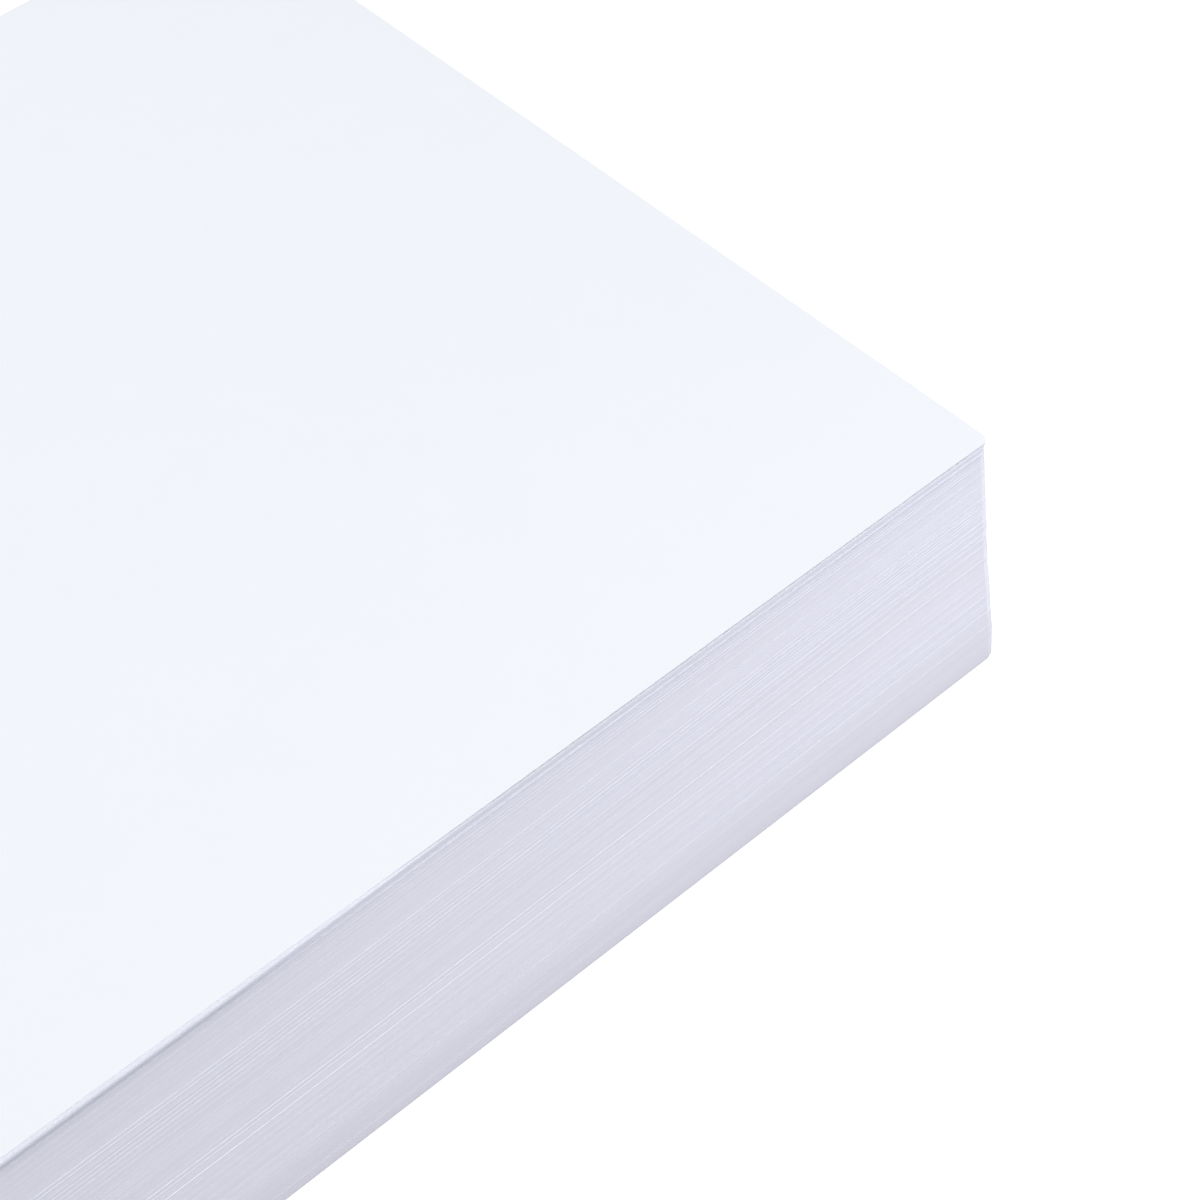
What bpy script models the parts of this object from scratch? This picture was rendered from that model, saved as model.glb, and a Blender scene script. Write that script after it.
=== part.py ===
"""An unwrapped ream of white A4 copy paper: 500 loose sheets in a stack that leans a little.

The sheets lie flat, long side along X. Sheets that stand out from their neighbours are pieces of
their own, and the sheets between them are taken together as lifts, the handfuls a ream parts into.
Every sheet is cut to the same size, so a piece that stands out at one side is set in at the other.
"""

import math
import random

import bmesh
import bpy
from mathutils import Vector

# The cut sheet, in metres.
SHEET_LENGTH = 0.297  # ISO 216 A4, along X
SHEET_WIDTH = 0.210  # along Y
CORNER_RADIUS = 0.002  # the cut corners are blunt
CORNER_SEGMENTS = 4
SHEET_PITCH = 0.000104  # one 80 g/m2 sheet with the air under it
AIR_GAP = 0.00001  # part of the pitch, left open below every piece but the lowest

# The stack. Sheets are counted from the top one down.
LEAN = Vector((0.0020, -0.0023))  # from the head of the stack to its foot: to the right, to the front
BELLY = (  # share of the height from the top down, how far that level stands out to the right, to the front
    (0.000, 0.00015, 0.00005),
    (0.036, 0.00015, 0.00005),
    (0.040, 0.00008, -0.00017),
    (0.100, 0.00019, -0.00016),
    (0.350, 0.00014, -0.00011),
    (0.500, 0.00008, -0.00017),
    (0.800, 0.00030, 0.00010),
    (0.930, 0.00033, 0.00003),
    (1.000, 0.00026, -0.00009),
)
OUTWARD = Vector((1.0, -1.0))  # the proud sheets stand out to the right and the front
SHEETS_PER_STEP = 12  # a lift's side follows the lean and the belly in steps of this many sheets

# Each piece from the top down: name, how many sheets it holds, how far it stands out.
PIECES = (
    ("top_sheet", 1, 0.00006),
    ("second_sheet", 1, -0.00004),
    ("third_sheet", 1, 0.00003),
    ("top_lift", 11, 0.0),
    ("proud_sheet_1", 1, 0.00016),
    ("lift_1", 36, 0.0),
    ("proud_sheet_2", 1, 0.00014),
    ("lift_2", 51, 0.00002),
    ("proud_sheet_3", 1, 0.00022),
    ("lift_3", 29, 0.0),
    ("proud_sheet_4", 1, 0.00020),
    ("lift_4", 18, -0.00003),
    ("proud_sheet_5", 1, 0.00024),
    ("lift_5", 23, 0.0),
    ("proud_sheet_6", 1, 0.00020),
    ("lift_6", 20, 0.00002),
    ("proud_sheet_7", 1, 0.00020),
    ("lift_7", 32, -0.00002),
    ("proud_sheet_8", 1, 0.00018),
    ("lift_8", 44, 0.0),
    ("proud_sheet_9", 1, 0.00032),
    ("lift_9", 8, -0.00003),
    ("proud_sheet_10", 1, 0.00018),
    ("lift_10", 18, 0.0),
    ("proud_sheet_11", 1, 0.00030),
    ("lift_11", 58, 0.00002),
    ("proud_sheet_12", 1, 0.00020),
    ("lift_12", 50, 0.0),
    ("proud_sheet_13", 1, 0.00016),
    ("lift_13", 43, 0.00003),
    ("proud_sheet_14", 1, 0.00014),
    ("lift_14", 32, -0.00002),
    ("proud_sheet_15", 1, 0.00016),
    ("bottom_lift", 8, 0.0),
    ("bottom_sheet", 1, 0.00005),
)
SHEET_COUNT = sum(sheets for _, sheets, _ in PIECES)
STACK_HEIGHT = SHEET_COUNT * SHEET_PITCH

# How unevenly the pieces were knocked up, each way from square.
LIFT_SLIP = 0.00004
LIFT_TURN = math.radians(0.015)
SHEET_TURN = math.radians(0.04)
SEED = 500

PAPER_COLOUR = (0.905, 0.925, 0.965)
COLOUR_STEP = 0.012  # neighbouring pieces differ by up to this much
PAPER_ROUGHNESS = 0.85


def clear_scene():
    for obj in list(bpy.data.objects):
        bpy.data.objects.remove(obj, do_unlink=True)


def belly_at(share):
    """How far the stack stands out past its lean, at this share of its height from the top."""
    for (upper, *out_upper), (lower, *out_lower) in zip(BELLY, BELLY[1:]):
        if share <= lower:
            part = (share - upper) / (lower - upper)
            right, front = Vector(out_upper).lerp(Vector(out_lower), part)
            return Vector((right, -front))


def centre_at(sheets_down):
    """The middle of the sheet that lies this many sheets below the top of the stack."""
    share = sheets_down / SHEET_COUNT
    return LEAN * (share - 0.5) + belly_at(share)


def paper_material(name, rng):
    material = bpy.data.materials.new(name)
    material.use_nodes = True
    shader = material.node_tree.nodes["Principled BSDF"]
    shade = rng.uniform(-COLOUR_STEP, COLOUR_STEP)
    shader.inputs["Base Color"].default_value = (*(c + shade for c in PAPER_COLOUR), 1.0)
    shader.inputs["Roughness"].default_value = PAPER_ROUGHNESS
    shader.inputs["Metallic"].default_value = 0.0
    return material


def paper_mesh(name, foot, sheets_down, sheets):
    """The block between two levels of the stack, its outline drawn at the foot and carried up in steps."""
    steps = math.ceil(sheets / SHEETS_PER_STEP)
    foot_centre = centre_at(sheets_down + sheets)
    bm = bmesh.new()
    bmesh.ops.create_grid(bm, x_segments=1, y_segments=1, size=0.5)
    bmesh.ops.scale(bm, vec=(SHEET_LENGTH, SHEET_WIDTH, 1.0), verts=bm.verts)
    bmesh.ops.bevel(
        bm, geom=bm.verts, offset=CORNER_RADIUS, segments=CORNER_SEGMENTS, profile=0.5, affect="VERTICES"
    )
    upper = bm.faces[:]
    for step in range(1, steps + 1):
        level = sheets_down + sheets * (1 - step / steps)
        height = (SHEET_COUNT - level) * SHEET_PITCH - foot
        grown = bmesh.ops.extrude_face_region(bm, geom=upper)["geom"]
        if step > 1:
            bmesh.ops.delete(bm, geom=upper, context="FACES_ONLY")
        upper = [item for item in grown if isinstance(item, bmesh.types.BMFace)]
        rim = [item for item in grown if isinstance(item, bmesh.types.BMVert)]
        middle = sum((vert.co for vert in rim), Vector()) / len(rim)
        target = Vector((*(centre_at(level) - foot_centre), height))
        bmesh.ops.translate(bm, vec=target - middle, verts=rim)
    bmesh.ops.recalc_face_normals(bm, faces=bm.faces)
    mesh = bpy.data.meshes.new(name)
    bm.to_mesh(mesh)
    bm.free()
    return mesh


def add_piece(name, sheets_down, sheets, stands_out, rng, parent):
    lowest = sheets_down + sheets == SHEET_COUNT
    foot = (SHEET_COUNT - sheets_down - sheets) * SHEET_PITCH + (0.0 if lowest else AIR_GAP)
    mesh = paper_mesh(name, foot, sheets_down, sheets)
    mesh.materials.append(paper_material(name + "_paper", rng))
    piece = bpy.data.objects.new(name, mesh)
    slip = Vector((rng.uniform(-LIFT_SLIP, LIFT_SLIP), rng.uniform(-LIFT_SLIP, LIFT_SLIP)))
    centre = centre_at(sheets_down + sheets) + OUTWARD * stands_out + slip
    most_turn = SHEET_TURN if sheets == 1 else LIFT_TURN
    piece.location = (*centre, foot)
    piece.rotation_euler.z = rng.uniform(-most_turn, most_turn)
    piece.parent = parent
    bpy.context.scene.collection.objects.link(piece)
    return piece


def centre_on_footprint(pieces, parent):
    """Moves the whole stack so that the middle of its footprint is over the origin."""
    bpy.context.view_layer.update()
    points = [piece.matrix_world @ vert.co for piece in pieces for vert in piece.data.vertices]
    for axis in (0, 1):
        along = [point[axis] for point in points]
        parent.location[axis] = -(min(along) + max(along)) / 2


def build_ream():
    clear_scene()
    rng = random.Random(SEED)
    ream = bpy.data.objects.new("ream", None)
    bpy.context.scene.collection.objects.link(ream)
    pieces = []
    sheets_down = 0
    for name, sheets, stands_out in PIECES:
        pieces.append(add_piece(name, sheets_down, sheets, stands_out, rng, ream))
        sheets_down += sheets
    centre_on_footprint(pieces, ream)


build_ream()
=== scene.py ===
import math
import random

import bpy
from mathutils import Matrix, Vector


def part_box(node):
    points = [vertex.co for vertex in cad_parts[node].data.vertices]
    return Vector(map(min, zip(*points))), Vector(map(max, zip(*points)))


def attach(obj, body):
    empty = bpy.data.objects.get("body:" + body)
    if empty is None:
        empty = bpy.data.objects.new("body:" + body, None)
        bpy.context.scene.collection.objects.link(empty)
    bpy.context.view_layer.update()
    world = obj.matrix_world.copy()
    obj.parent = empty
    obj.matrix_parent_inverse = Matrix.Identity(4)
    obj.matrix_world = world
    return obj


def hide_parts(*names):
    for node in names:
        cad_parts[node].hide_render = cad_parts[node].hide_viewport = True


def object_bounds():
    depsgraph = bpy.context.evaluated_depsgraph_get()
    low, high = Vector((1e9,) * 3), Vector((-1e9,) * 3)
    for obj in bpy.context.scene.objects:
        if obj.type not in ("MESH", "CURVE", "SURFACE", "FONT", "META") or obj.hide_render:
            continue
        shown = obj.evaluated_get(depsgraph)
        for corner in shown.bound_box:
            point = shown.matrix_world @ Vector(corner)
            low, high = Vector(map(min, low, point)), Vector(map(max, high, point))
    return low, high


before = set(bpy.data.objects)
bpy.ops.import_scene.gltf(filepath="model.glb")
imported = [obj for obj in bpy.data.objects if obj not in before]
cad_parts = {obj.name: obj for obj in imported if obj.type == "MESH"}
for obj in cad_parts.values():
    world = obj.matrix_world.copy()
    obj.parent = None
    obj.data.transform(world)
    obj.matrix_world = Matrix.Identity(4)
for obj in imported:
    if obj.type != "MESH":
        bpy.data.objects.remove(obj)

cadLow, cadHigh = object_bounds()  # the box of the solids, before any piece stands for them

ream = {
    "sheetCount": 500,
    "sheetLength": 0.297,  # A4, long side along X
    "sheetWidth": 0.210,
    "stackHeight": cadHigh.z,
    "slot": "copy_paper",
    "body": "root",
    "looseSheets": 3,  # at the head of the stack, pieces of their own
    "seed": 80,
}
pitch = ream["stackHeight"] / ream["sheetCount"]
millimetre = 0.001
print("ream: %d sheets, %.4f mm each" % (ream["sheetCount"], pitch / millimetre))


def selectOnly(objects):
    bpy.ops.object.select_all(action="DESELECT")
    for item in objects:
        item.select_set(True)
    bpy.context.view_layer.objects.active = objects[0]


def between(points, at):
    # reads a line drawn through (place, value) points; it stays level past either end
    if at <= points[0][0]:
        return points[0][1]
    for (before, first), (after, second) in zip(points, points[1:]):
        if at <= after:
            return first + (second - first) * (at - before) / (after - before)
    return points[-1][1]


cameraPlace = {
    "fromCorner": Vector((-0.2287, -0.2020, 0.3104)),  # metres from the top sheet's front right corner
    "heading": 36.47,  # degrees from +Y towards +X
    "tiltDown": 48.62,  # degrees
    "roll": -6.10,  # degrees
    "lens": 82.02,
    "sensor": 36.0,
    "clipStart": 0.01,
}


def addCamera():
    topLow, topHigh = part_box("top_sheet")
    corner = Vector((topHigh.x, topLow.y, topHigh.z))
    bpy.ops.object.camera_add(location=corner + cameraPlace["fromCorner"])
    camera = bpy.context.object
    camera.name = "camera"
    turn = Matrix.Rotation(math.radians(-cameraPlace["heading"]), 3, "Z")
    tilt = Matrix.Rotation(math.radians(90 - cameraPlace["tiltDown"]), 3, "X")
    roll = Matrix.Rotation(math.radians(cameraPlace["roll"]), 3, "Z")
    camera.rotation_euler = (turn @ tilt @ roll).to_euler()
    camera.data.lens = cameraPlace["lens"]
    camera.data.sensor_width = cameraPlace["sensor"]
    camera.data.clip_start = cameraPlace["clipStart"]
    bpy.context.scene.camera = camera


addCamera()
print("camera placed")


class Wire:  # a socket in a material; sums and products of wires add Math nodes
    def __init__(self, tree, socket=None):
        self.tree = tree
        self.socket = socket

    def node(self, kind, settings, sockets, output=0):
        made = self.tree.nodes.new(kind)
        for name, value in settings.items():
            setattr(made, name, value)
        for name, value in sockets.items():
            self.plug(value, made.inputs[name])
        return Wire(self.tree, made.outputs[output])

    def plug(self, value, socket):
        if isinstance(value, Wire):
            self.tree.links.new(value.socket, socket)
        else:
            socket.default_value = value

    def maths(self, operation, first, second):
        return self.node("ShaderNodeMath", {"operation": operation}, {0: first, 1: second})

    def __add__(self, other):
        return self.maths("ADD", self, other)

    def __sub__(self, other):
        return self.maths("SUBTRACT", self, other)

    def __mul__(self, other):
        return self.maths("MULTIPLY", self, other)


def newMaterial(name):
    material = bpy.data.materials.new(name)
    material.use_nodes = True
    return material, material.node_tree.nodes["Principled BSDF"], Wire(material.node_tree)


def laidOut(wire, scale, turn=0.0):
    # the piece's own coordinates in metres, stretched and turned for a pattern
    coordinates = wire.node("ShaderNodeTexCoord", {}, {}, "Object")
    return wire.node(
        "ShaderNodeMapping", {}, {"Vector": coordinates, "Scale": scale, "Rotation": (0, 0, turn)}
    )


def noise(wire, where, detail, roughness=0.5):
    return wire.node(
        "ShaderNodeTexNoise",
        {},
        {"Vector": where, "Scale": 1.0, "Detail": detail, "Roughness": roughness},
    )


def tinted(wire, light, dark, factor):
    # from the light colour at 0 to the dark one at 1
    return wire.node(
        "ShaderNodeMix",
        {"data_type": "RGBA", "clamp_factor": True},
        {0: factor, 6: (*light, 1.0), 7: (*dark, 1.0)},
        2,
    )


def bumped(wire, paper, height):
    return wire.node(
        "ShaderNodeBump",
        {},
        {"Strength": paper["bumpStrength"], "Distance": paper["bumpHeight"], "Height": height},
    )


paperFace = {
    "light": (0.914, 0.937, 0.984),
    "dark": (0.888, 0.917, 0.970),
    "cloudSize": 0.011,  # the uneven formation seen against the light
    "cloudShare": 0.5,
    "mottleSize": 0.0016,
    "mottleShare": 0.3,
    "mottleBump": 0.6,
    "fibreLength": 0.0018,
    "fibreWidth": 0.00018,
    "fibreTurns": (0.5, -0.7),  # radians, two layers of fibres that cross
    "feltShare": 0.2,
    "bumpHeight": 0.000012,
    "bumpStrength": 0.5,
    "roughness": 0.74,
    "roughnessRange": 0.16,
    "specular": 0.3,
}


def makePaperFace():
    material, shader, wire = newMaterial("paperFace")
    cloud = noise(wire, laidOut(wire, (1 / paperFace["cloudSize"],) * 3), 3.0)
    mottle = noise(wire, laidOut(wire, (1 / paperFace["mottleSize"],) * 3), 4.0, 0.6)
    along, across = 1 / paperFace["fibreLength"], 1 / paperFace["fibreWidth"]
    fibres, crossing = (
        noise(wire, laidOut(wire, (along, across, across), turn), 2.0)
        for turn in paperFace["fibreTurns"]
    )
    felt = fibres * 0.5 + crossing * 0.5
    shade = (
        cloud * paperFace["cloudShare"]
        + mottle * paperFace["mottleShare"]
        + felt * paperFace["feltShare"]
    )
    colour = tinted(wire, paperFace["light"], paperFace["dark"], shade)
    wire.plug(colour, shader.inputs["Base Color"])
    roughness = mottle * paperFace["roughnessRange"] + paperFace["roughness"]
    wire.plug(roughness, shader.inputs["Roughness"])
    bump = bumped(wire, paperFace, felt + mottle * paperFace["mottleBump"])
    wire.plug(bump, shader.inputs["Normal"])
    shader.inputs["Specular IOR Level"].default_value = paperFace["specular"]
    return material


# The cut edges are coloured darker and more violet than the face of the same paper: painted shade for
# the side of the stack, which lies in less light than the top.
paperEdge = {
    "light": (0.812, 0.806, 0.922),
    "dark": (0.650, 0.650, 0.745),
    "streakLength": 0.030,  # shade that runs along a few sheets
    "streakHeight": 0.00025,
    "streakShare": 0.14,
    "streakBump": 0.5,
    "knifeWidth": 0.0004,  # marks that the guillotine leaves down the stack
    "knifeHeight": 0.012,
    "knifeShare": 0.07,
    "knifeBump": 0.3,
    "grainSize": 0.00022,
    "grainShare": 0.14,
    "grainBump": 0.4,
    "bumpHeight": 0.00002,
    "bumpStrength": 0.5,
    "roughness": 0.84,
    "roughnessRange": 0.12,
    "specular": 0.2,
}


def makePaperEdge():
    material, shader, wire = newMaterial("paperEdge")
    # each sheet's tone, which holds painted shade at the foot of the stack
    toneAndShade = wire.node("ShaderNodeAttribute", {"attribute_name": "sheetToneAndShade"}, {}, "Fac")
    length, height = 1 / paperEdge["streakLength"], 1 / paperEdge["streakHeight"]
    streaks = noise(wire, laidOut(wire, (length, length, height)), 3.0)
    width, run = 1 / paperEdge["knifeWidth"], 1 / paperEdge["knifeHeight"]
    knife = noise(wire, laidOut(wire, (width, width, run)), 2.0)
    grain = noise(wire, laidOut(wire, (1 / paperEdge["grainSize"],) * 3), 3.0, 0.6)
    pattern = (
        (streaks - 0.5) * paperEdge["streakShare"]
        + (knife - 0.5) * paperEdge["knifeShare"]
        + (grain - 0.5) * paperEdge["grainShare"]
    )
    # the sheet's tone with its painted shade, and the edge's own streaks, knife marks and grain, move
    # the colour towards dark
    colour = tinted(wire, paperEdge["light"], paperEdge["dark"], toneAndShade + pattern)
    wire.plug(colour, shader.inputs["Base Color"])
    roughness = grain * paperEdge["roughnessRange"] + paperEdge["roughness"]
    wire.plug(roughness, shader.inputs["Roughness"])
    relief = (
        streaks * paperEdge["streakBump"]
        + knife * paperEdge["knifeBump"]
        + grain * paperEdge["grainBump"]
    )
    wire.plug(bumped(wire, paperEdge, relief), shader.inputs["Normal"])
    shader.inputs["Specular IOR Level"].default_value = paperEdge["specular"]
    return material


faceMaterial = makePaperFace()
edgeMaterial = makePaperEdge()
print("paper materials made")


# Lines seen along the cut edge. Each row: the sheet, counted from the top; how far it stands out,
# in mm, near the middle of the long side and at the front right corner; how many sheets above it
# are set in; how many sheets stay out before the stack steps back (at 0 they ease back instead).
marks = (
    (38, 0.020, 0.075, 0, 0),
    (47, 0.022, 0.085, 0, 0),
    (57, 0.020, 0.082, 0, 0),
    (65, 0.022, 0.082, 0, 0),
    (92, 0.000, 0.052, 0, 0),
    (109, 0.000, 0.034, 0, 0),
    (126, 0.048, 0.040, 2, 0),
    (135, 0.050, 0.000, 0, 0),
    (148, 0.026, 0.012, 0, 0),
    (157, 0.048, 0.042, 0, 0),
    (167, 0.036, 0.048, 0, 0),
    (177, 0.034, 0.084, 2, 0),
    (188, 0.034, 0.050, 0, 0),
    (195, 0.000, 0.048, 0, 0),
    (201, 0.044, 0.066, 0, 0),
    (208, 0.000, 0.062, 0, 0),
    (220, 0.034, 0.054, 0, 0),
    (230, 0.006, 0.068, 0, 0),
    (243, 0.010, 0.050, 0, 0),
    (251, 0.010, 0.074, 0, 0),
    (264, 0.014, 0.056, 0, 0),
    (279, 0.024, 0.020, 0, 0),
    (289, 0.052, 0.034, 2, 0),
    (297, 0.050, 0.008, 0, 0),
    (315, 0.038, 0.012, 3, 0),
    (328, 0.022, 0.036, 0, 0),
    (343, 0.018, 0.042, 0, 3),
    (373, 0.012, 0.064, 0, 3),
    (398, 0.000, 0.050, 0, 3),
    (411, 0.000, 0.030, 0, 0),
    (425, 0.014, 0.050, 0, 3),
    (453, 0.000, 0.038, 0, 3),
    (482, 0.022, 0.010, 0, 0),
)

# The loosest sheets, at the head of the stack. Each row holds from this sheet down to the next
# row: how far the sheets stand out, in mm, near the middle of the long side, at the front right
# corner, and past the right end.
head = (
    (1, 0.06, 0.06, 0.00),
    (2, -0.52, -0.58, 0.00),
    (5, 0.10, 0.12, 0.00),
    (7, 0.12, 0.14, 0.00),
    (9, 0.13, 0.16, 0.00),
    (15, 0.06, 0.08, -0.02),
    (18, -0.03, -0.03, -0.06),
    (21, -0.08, -0.09, -0.08),
    (24, -0.11, -0.13, -0.12),
    (26, 0.12, 0.08, -0.14),
    (28, 0.08, 0.18, -0.16),
    (30, -0.08, -0.10, -0.18),
    (34, -0.01, -0.01, -0.10),
    (36, 0.00, 0.00, 0.00),
)

# From near the middle to the left end, the head of the stack swells into a soft nose with a
# hollow under it. This takes over from the marks and the head there.
swell = {
    "startsAt": 0.097,  # metres from the right end
    "fullAt": 0.126,
    "stations": (0.128, 0.150),
    # each row: the sheet, and how far it stands out at the two stations, in mm
    "rows": (
        (1, 0.05, 0.05),
        (2, 0.09, 0.11),
        (3, 0.14, 0.18),
        (4, 0.32, 0.41),
        (5, 0.39, 0.51),
        (6, 0.42, 0.56),
        (8, 0.41, 0.57),
        (10, 0.33, 0.54),
        (12, 0.21, 0.47),
        (14, 0.08, 0.37),
        (16, -0.04, 0.23),
        (18, -0.11, 0.07),
        (20, -0.15, -0.10),
        (22, -0.15, -0.26),
        (24, -0.15, -0.38),
        (27, -0.15, -0.44),
        (28, 0.14, 0.24),
        (31, 0.07, 0.12),
        (36, 0.00, 0.00),
    ),
}

# How the rest of the sheets lie when the stack has been knocked up against a table.
knockUp = {
    "easeSheets": 5,
    "setInShare": 0.8,  # of the step below it, for the sheets set in above a mark
    "groupSheets": (4, 9),
    "groupStep": 0.009,  # mm, either way
    "lively": ((0.06, 0.12), (0.25, 0.50)),  # shares of the height where fine lines crowd
    "livelySheets": (2, 4),
    "livelyStep": (0.008, 0.022),  # mm, in and out by turns
    "sheetStep": 0.006,  # mm
    "sidewaysStep": 0.012,  # mm, along the long side
    "middleAt": 0.130,  # metres from the corner to where the marks' middle values hold
    # how dark the cut edges are, from the head of the stack at 0 to its foot at 1; darker towards the
    # head, and much darker over the lowest sheets as painted shade at the foot of the stack
    "toneAndShade": (
        (0.00, 0.32),
        (0.25, 0.21),
        (0.65, 0.19),
        (0.85, 0.27),
        (0.97, 0.42),
        (0.99, 0.60),
        (1.00, 0.95),
    ),
    "toneStep": 0.06,
}

# Sheets do not lie dead flat: towards the corners they rise or sink.
ripple = {
    "reach": 0.115,  # metres
    # share of the height from the top down, and by what share of the height a sheet rises there
    "rise": (
        (0.00, 0.000),
        (0.12, 0.040),
        (0.19, 0.053),
        (0.26, 0.076),
        (0.32, 0.091),
        (0.37, 0.102),
        (0.45, 0.096),
        (0.52, 0.078),
        (0.59, 0.058),
        (0.65, 0.048),
        (0.69, 0.043),
        (0.77, 0.064),
        (0.87, 0.087),
        (0.93, 0.055),
        (1.00, 0.000),
    ),
    # right or left, back or front, and how strong the ripple is there
    "corners": ((1, -1, 1.0), (1, 1, 0.35), (-1, 1, -0.20), (-1, -1, 0.25)),
    "droop": 0.00015,  # how far the tip of the front right corner hangs
    "droopReach": 0.007,
}


def markedOut(sheet):
    # what the marks add at this sheet: middle and corner, in mm
    middle = corner = 0.0
    for marked, atMiddle, atCorner, setIn, stays in marks:
        share = 0.0
        if marked - setIn <= sheet < marked:
            share = -knockUp["setInShare"]
        elif stays and marked <= sheet < marked + stays:
            share = 1.0
        elif not stays and marked <= sheet < marked + knockUp["easeSheets"]:
            share = 1.0 - (sheet - marked) / knockUp["easeSheets"]
        middle += share * atMiddle
        corner += share * atCorner
    return middle, corner


def headOut(sheet):
    # what the head adds at this sheet: middle, corner and right end, in mm
    return [row[1:] for row in head if row[0] <= sheet][-1]


def knockedUp(rng):
    # one (middle, corner, sideways, tone with painted shade) for every sheet, from the top down
    placed = []
    left = 0
    outwards = 1
    for sheet in range(1, ream["sheetCount"] + 1):
        share = sheet / ream["sheetCount"]
        if left == 0:
            crowded = any(low <= share <= high for low, high in knockUp["lively"])
            left = rng.randint(*knockUp["livelySheets" if crowded else "groupSheets"])
            groupMiddle = rng.uniform(-1, 1) * knockUp["groupStep"]
            groupCorner = rng.uniform(-1, 1) * knockUp["groupStep"]
            if crowded:
                outwards = -outwards
                groupCorner = outwards * rng.uniform(*knockUp["livelyStep"])
            groupSideways = rng.uniform(-1, 1) * knockUp["sidewaysStep"]
            groupTone = rng.uniform(-0.5, 0.5) * knockUp["toneStep"]
        left -= 1
        markMiddle, markCorner = markedOut(sheet)
        headMiddle, headCorner, headRight = headOut(sheet)
        single = rng.uniform(-1, 1) * knockUp["sheetStep"]
        singleSideways = rng.uniform(-1, 1) * knockUp["sheetStep"]
        singleTone = rng.uniform(-0.5, 0.5) * knockUp["toneStep"]
        if sheet <= ream["looseSheets"]:
            groupMiddle = groupCorner = groupSideways = single = 0.0
        placed.append(
            (
                groupMiddle + markMiddle + headMiddle + single,
                groupCorner + markCorner + headCorner + single,
                groupSideways + headRight + singleSideways,
                # the sheet's tone: the table by depth, with painted shade at the foot, plus random
                # tone for the group and the sheet
                between(knockUp["toneAndShade"], share) + groupTone + singleTone,
            )
        )
    return placed


def centreLine():
    # the middle of the stack at each height, read from the frame's lifts, not its single sheets
    points = []
    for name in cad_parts:
        low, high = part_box(name)
        if high.z - low.z > 2 * pitch:
            points.append(((low.z + high.z) / 2, (low + high) / 2))
    return sorted(points, key=lambda point: point[0])


def centreAt(line, height):
    across = between([(level, centre.x) for level, centre in line], height)
    along = between([(level, centre.y) for level, centre in line], height)
    return Vector((across, along, 0))


def settled(point, line):
    # where a point of a sheet comes to lie once the stack has rippled and kept its outline
    height = ream["stackHeight"]
    rise = between(ripple["rise"], 1 - point.z / height)
    total = 0.0
    for right, back, strength in ripple["corners"]:
        awayX = point.x - right * ream["sheetLength"] / 2
        awayY = point.y - back * ream["sheetWidth"] / 2
        total += strength * math.exp(-(awayX**2 + awayY**2) / ripple["reach"] ** 2)
    fromTip = (point.x - ream["sheetLength"] / 2) ** 2 + (point.y + ream["sheetWidth"] / 2) ** 2
    droop = ripple["droop"] * math.exp(-fromTip / ripple["droopReach"] ** 2) * point.z / height
    level = point.z + rise * total * height
    moved = point + centreAt(line, level) - centreAt(line, point.z)
    moved.z = level - droop
    return moved


pressedShape = {
    "cornerRadius": 0.002,
    "cornerSegments": 2,
    # cuts across the sheet, so that it can ripple: distances from its right end
    "cutsAcross": (0.014, 0.030, 0.050, 0.074, 0.104, 0.128, 0.150, 0.210),
    "cutsAlong": (0.070, 0.140),  # distances from its front edge
}

# the few sheets at the head are seen from above, so they have more cuts, closer at the corner
looseShape = {
    "cornerRadius": 0.0018,
    "cornerSegments": 5,
    "cutsAcross": (0.003, 0.006, 0.010, 0.015, 0.022, 0.030, 0.040, 0.050, 0.062, 0.074, 0.088,
                   0.104, 0.116, 0.128, 0.150, 0.180, 0.210, 0.250),
    "cutsAlong": (0.003, 0.006, 0.010, 0.015, 0.022, 0.032, 0.045, 0.070, 0.100, 0.140, 0.175),
}


def makeSheet(name, shape):
    # one sheet, centred on the origin, its underside at height 0
    length, width = ream["sheetLength"], ream["sheetWidth"]
    bpy.ops.object.select_all(action="DESELECT")
    bpy.ops.mesh.primitive_cube_add(size=1, location=(0, 0, pitch / 2), scale=(length, width, pitch))
    sheet = bpy.context.object
    sheet.name = name
    bpy.ops.object.transform_apply(location=True, rotation=True, scale=True)
    mesh = sheet.data
    bpy.context.tool_settings.mesh_select_mode = (False, True, False)
    bpy.ops.object.mode_set(mode="EDIT")
    bpy.ops.mesh.select_all(action="DESELECT")
    bpy.ops.object.mode_set(mode="OBJECT")
    for edge in mesh.edges:
        first, second = (mesh.vertices[index].co for index in edge.vertices)
        edge.select = abs(first.z - second.z) > pitch / 2
    bpy.ops.object.mode_set(mode="EDIT")
    bpy.ops.mesh.bevel(offset=shape["cornerRadius"], segments=shape["cornerSegments"], affect="EDGES")
    for away in shape["cutsAcross"]:
        bpy.ops.mesh.select_all(action="SELECT")
        bpy.ops.mesh.bisect(plane_co=(length / 2 - away, 0, 0), plane_no=(1, 0, 0))
    for away in shape["cutsAlong"]:
        bpy.ops.mesh.select_all(action="SELECT")
        bpy.ops.mesh.bisect(plane_co=(0, away - width / 2, 0), plane_no=(0, 1, 0))
    bpy.ops.mesh.select_all(action="SELECT")
    bpy.ops.mesh.normals_make_consistent(inside=False)
    bpy.ops.object.mode_set(mode="OBJECT")
    mesh.materials.append(faceMaterial)
    mesh.materials.append(edgeMaterial)
    for face in mesh.polygons:
        face.material_index = 0 if abs(face.normal.z) > 0.5 else 1
    # each sheet's tone, with painted shade at the foot of the stack, is set as it is laid down
    mesh.attributes.new("sheetToneAndShade", "FLOAT", "FACE")
    print("%s: %d faces" % (name, len(mesh.polygons)))
    return sheet


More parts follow.
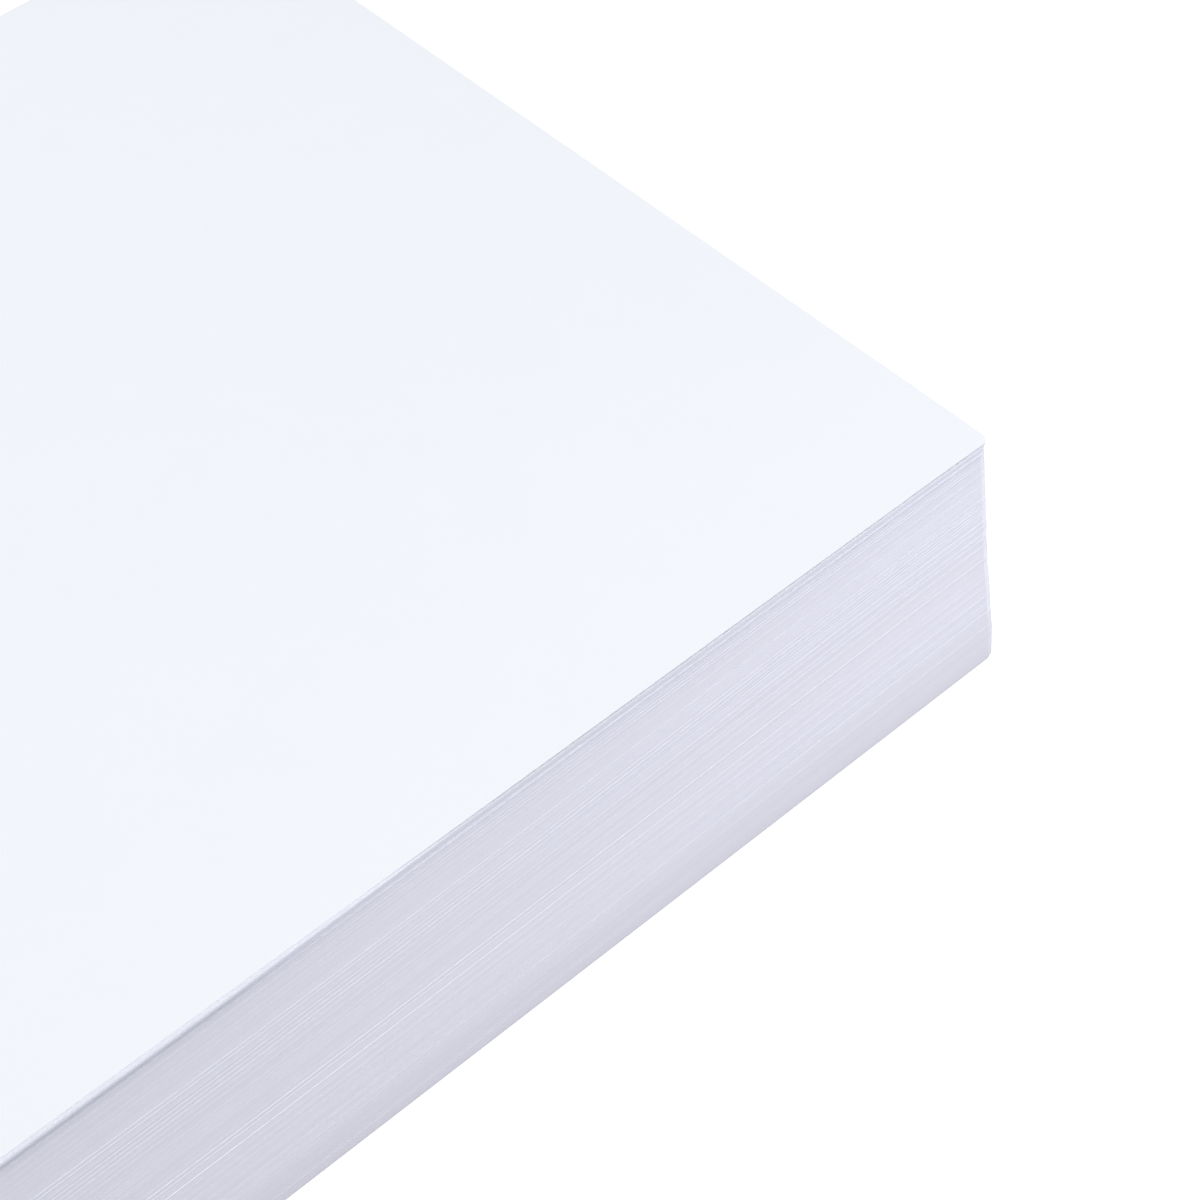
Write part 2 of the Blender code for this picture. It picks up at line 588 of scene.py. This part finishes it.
def swollen(sheet, away, rigid):
    # how much further out than its rigid place the front edge lies in the nose, in mm, where away
    # is the distance from the right end
    share = between(((swell["startsAt"], 0.0), (swell["fullAt"], 1.0)), away)
    values = [between([(row[0], row[column]) for row in swell["rows"]], sheet) for column in (1, 2)]
    return share * (between(list(zip(swell["stations"], values)), away) - rigid)


def layDown(pattern, name, sheet, knocked, line):
    # a copy of the pattern sheet, laid in its place in the stack
    middle, corner, sideways, toneAndShade = knocked
    copy = pattern.copy()
    copy.data = pattern.data.copy()
    copy.name = name
    bpy.context.scene.collection.objects.link(copy)
    # the copy takes its sheet's tone and painted shade
    copy.data.attributes["sheetToneAndShade"].data.foreach_set("value", [toneAndShade] * len(copy.data.polygons))
    foot = (ream["sheetCount"] - sheet) * pitch
    centre = centreAt(line, foot)
    turn = (middle - corner) * millimetre / knockUp["middleAt"]
    reach = ream["sheetLength"] / 2  # from the middle of the sheet to its right end
    atCentre = corner * millimetre + turn * reach
    if sheet < swell["rows"][-1][0]:
        for vertex in copy.data.vertices:
            away = reach - vertex.co.x
            rigid = corner + turn * away / millimetre
            frontness = 0.5 - vertex.co.y / ream["sheetWidth"]
            vertex.co.y -= swollen(sheet, away, rigid) * frontness * millimetre
    copy.location = (centre.x + sideways * millimetre, centre.y - atCentre, foot)
    copy.rotation_euler = (0, 0, turn)
    return copy


def buildStack():
    rng = random.Random(ream["seed"])
    knocked = knockedUp(rng)
    line = centreLine()
    pressed = makeSheet("pressedSheet", pressedShape)
    loose = makeSheet("looseSheet", looseShape)
    nodesDown = sorted(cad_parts, key=lambda name: -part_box(name)[1].z)
    sheet = 0
    for node in nodesDown:
        low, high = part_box(node)
        many = round((high.z - low.z) / pitch)
        pattern = loose if sheet < ream["looseSheets"] else pressed
        copies = []
        for _ in range(many):
            sheet += 1
            copies.append(layDown(pattern, "%s_paper" % node, sheet, knocked[sheet - 1], line))
        selectOnly(copies)
        bpy.ops.object.transform_apply(location=True, rotation=True, scale=True)
        if len(copies) > 1:
            bpy.ops.object.join()
        piece = copies[0]
        piece.name = "%s_paper" % node
        piece.data.name = piece.name
        for vertex in piece.data.vertices:
            vertex.co = settled(vertex.co, line)
        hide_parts(node)
        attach(piece, ream["body"])
    for pattern in (pressed, loose):
        bpy.data.objects.remove(pattern, do_unlink=True)
    print("%d sheets laid in %d pieces" % (sheet, len(nodesDown)))


buildStack()


studio = {
    "floorSize": 12.0,
    "floorDrop": 0.00002,  # just under the lowest sheet
    "floorTone": (0.1, 0.1, 0.1, 1.0),
    "floorGlow": 1.0,
    "white": (1.0, 1.0, 1.0, 1.0),
    "world": 0.45,
    "aim": (0.08, -0.05, 0.03),
    "overhead": {"place": (0.30, -0.55, 2.2), "size": 1.2, "power": 19.2},
    "front": {"place": (0.29, -0.54, 0.15), "size": 0.30, "power": 1.06},
    "back": {"place": (-0.60, 0.70, 0.50), "size": 0.60, "power": 3.75},
}


def addFloor():
    bpy.ops.object.select_all(action="DESELECT")
    bpy.ops.mesh.primitive_plane_add(size=studio["floorSize"], location=(0, 0, -studio["floorDrop"]))
    floor = bpy.context.object
    floor.name = "floor"
    material, shader, _ = newMaterial("floorWhite")
    shader.inputs["Base Color"].default_value = studio["floorTone"]
    shader.inputs["Roughness"].default_value = 0.9
    shader.inputs["Specular IOR Level"].default_value = 0.0
    shader.inputs["Emission Color"].default_value = studio["white"]
    shader.inputs["Emission Strength"].default_value = studio["floorGlow"]
    floor.data.materials.append(material)
    floor.visible_diffuse = False  # the floor shows white without lighting the stack from below


def addLight(name):
    light = studio[name]
    bpy.ops.object.light_add(type="AREA", location=light["place"])
    lamp = bpy.context.object
    lamp.name = name
    lamp.data.shape = "DISK"
    lamp.data.size = light["size"]
    lamp.data.energy = light["power"]
    lamp.visible_camera = False
    towards = Vector(studio["aim"]) - lamp.location
    lamp.rotation_euler = towards.to_track_quat("-Z", "Y").to_euler()


def addWorld():
    world = bpy.data.worlds.new("studioWhite")
    bpy.context.scene.world = world
    world.use_nodes = True
    background = world.node_tree.nodes["Background"]
    background.inputs["Color"].default_value = studio["white"]
    background.inputs["Strength"].default_value = studio["world"]
    bpy.context.scene.view_settings.view_transform = "Standard"


addFloor()
for name in ("overhead", "front", "back"):
    addLight(name)
addWorld()
print("floor and lights set")
